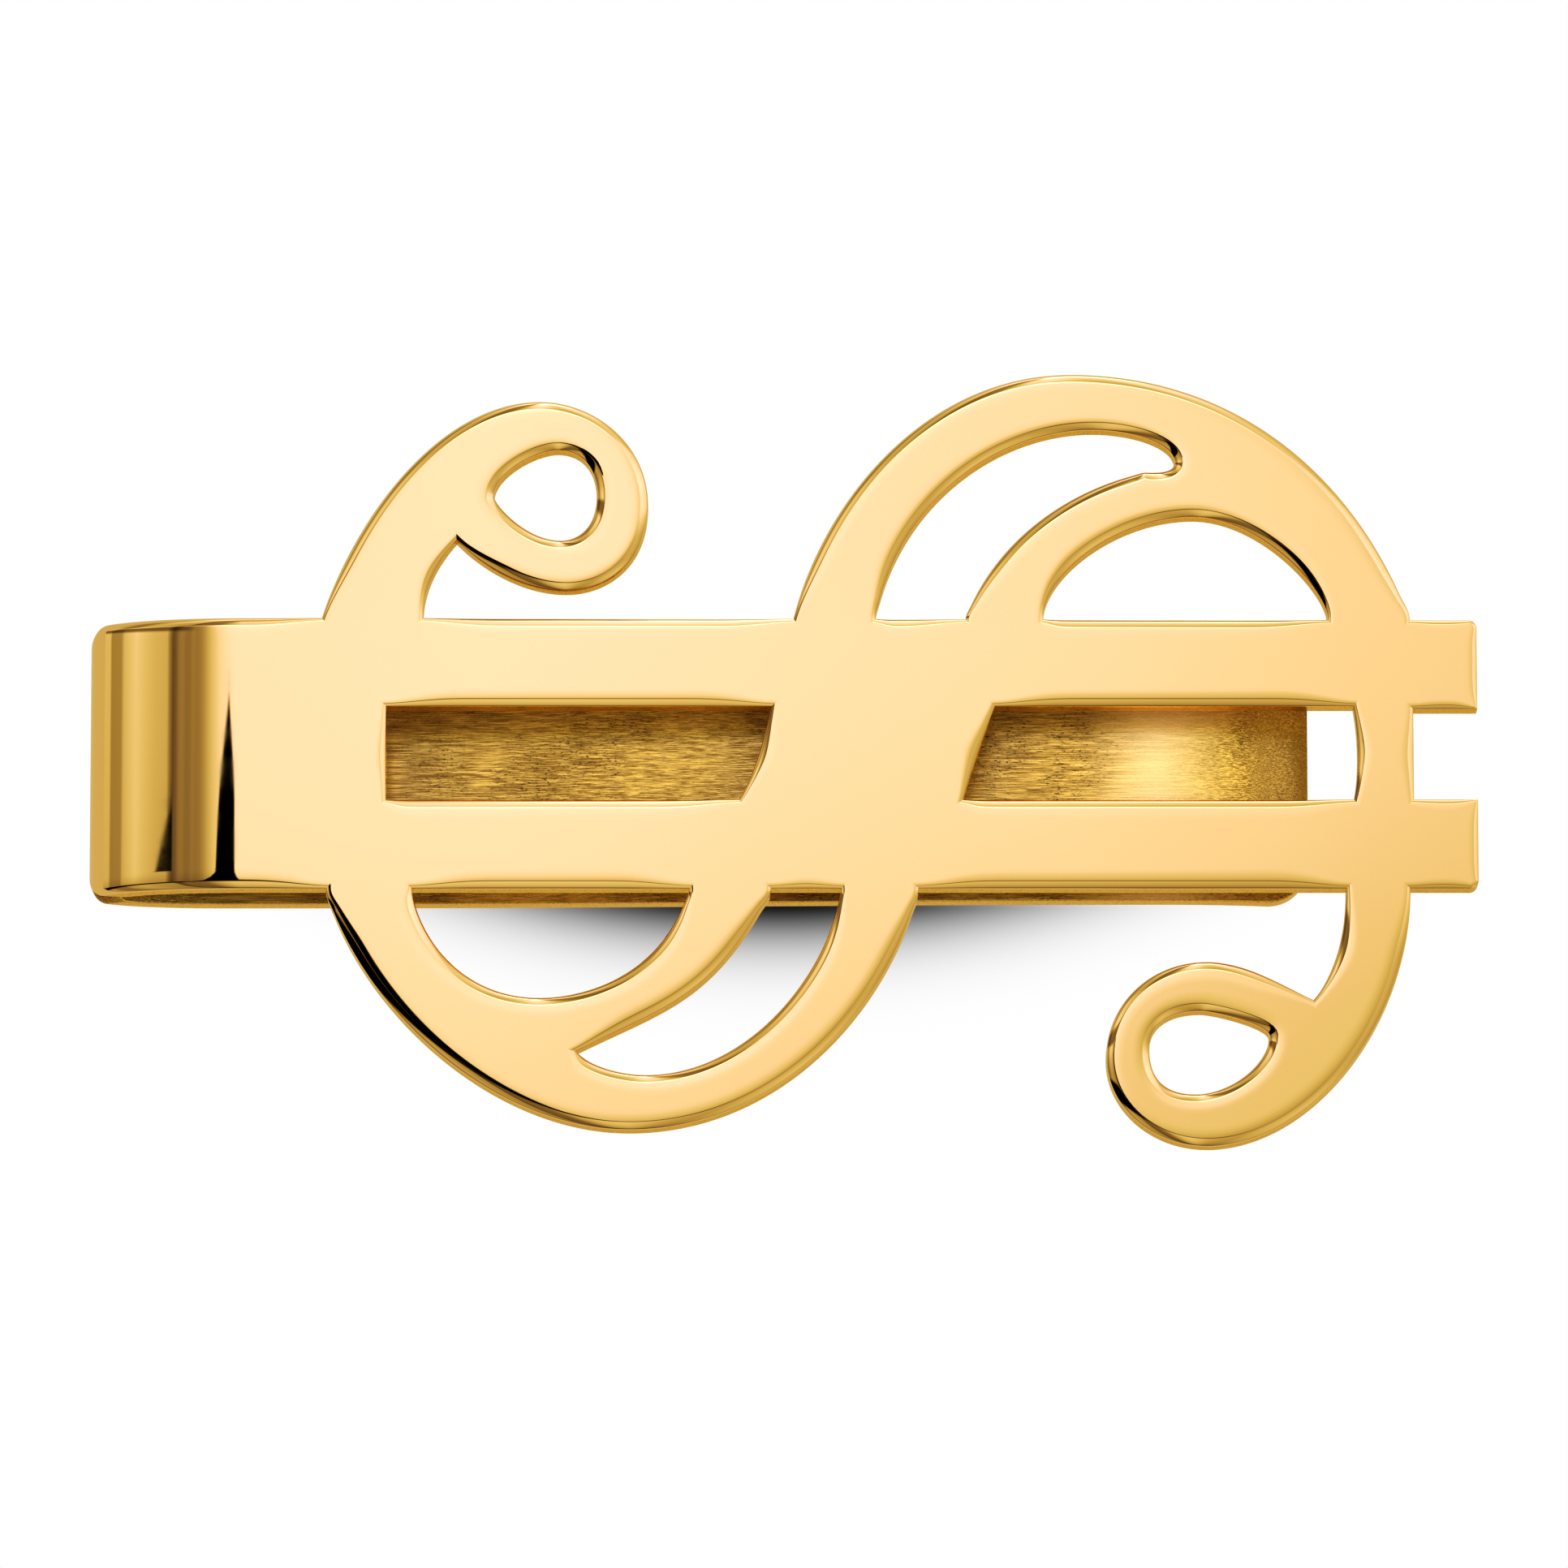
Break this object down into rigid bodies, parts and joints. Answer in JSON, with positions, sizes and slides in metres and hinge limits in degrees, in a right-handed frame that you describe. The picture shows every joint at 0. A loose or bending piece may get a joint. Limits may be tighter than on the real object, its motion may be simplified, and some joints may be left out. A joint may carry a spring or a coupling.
{
  "type": "money clip",
  "caption": "Spring money clip folded from one pierced strip: a dollar-sign front plate, a U-shaped spring bend and a bowed back arm that grips folded banknotes.",
  "frame": {"origin": "under the middle of the clip's box, on the surface that the clip lies on with its front plate up", "axes": "+X from the bend to the free ends of the bars, +Y up the dollar sign as it lies in the picture (towards the lobe next to the bar ends), +Z out of the front face"},
  "size_m": [0.05, 0.0282, 0.0044],
  "materials": {
    "polished_gold": "mirror-polished yellow gold with buffed edges",
    "satin_gold": "lengthwise satin brushing with a brown patina on the inner face, polished outside"
  },
  "bodies": {
    "front": {"dollar_front": "polished_gold", "spring_bend": "polished_gold"},
    "arm": {"back_arm": "satin_gold"}
  },
  "joints": [
    {"name": "arm_flex", "type": "hinge", "parent": "front", "child": "arm", "pos_m": [-0.0235, 0.0002, 0.002], "axis": [0, 1, 0], "range_deg": [-2, 7], "stiffness_Nm_per_rad": 3, "deforming": ["spring_bend"]}
  ]
}
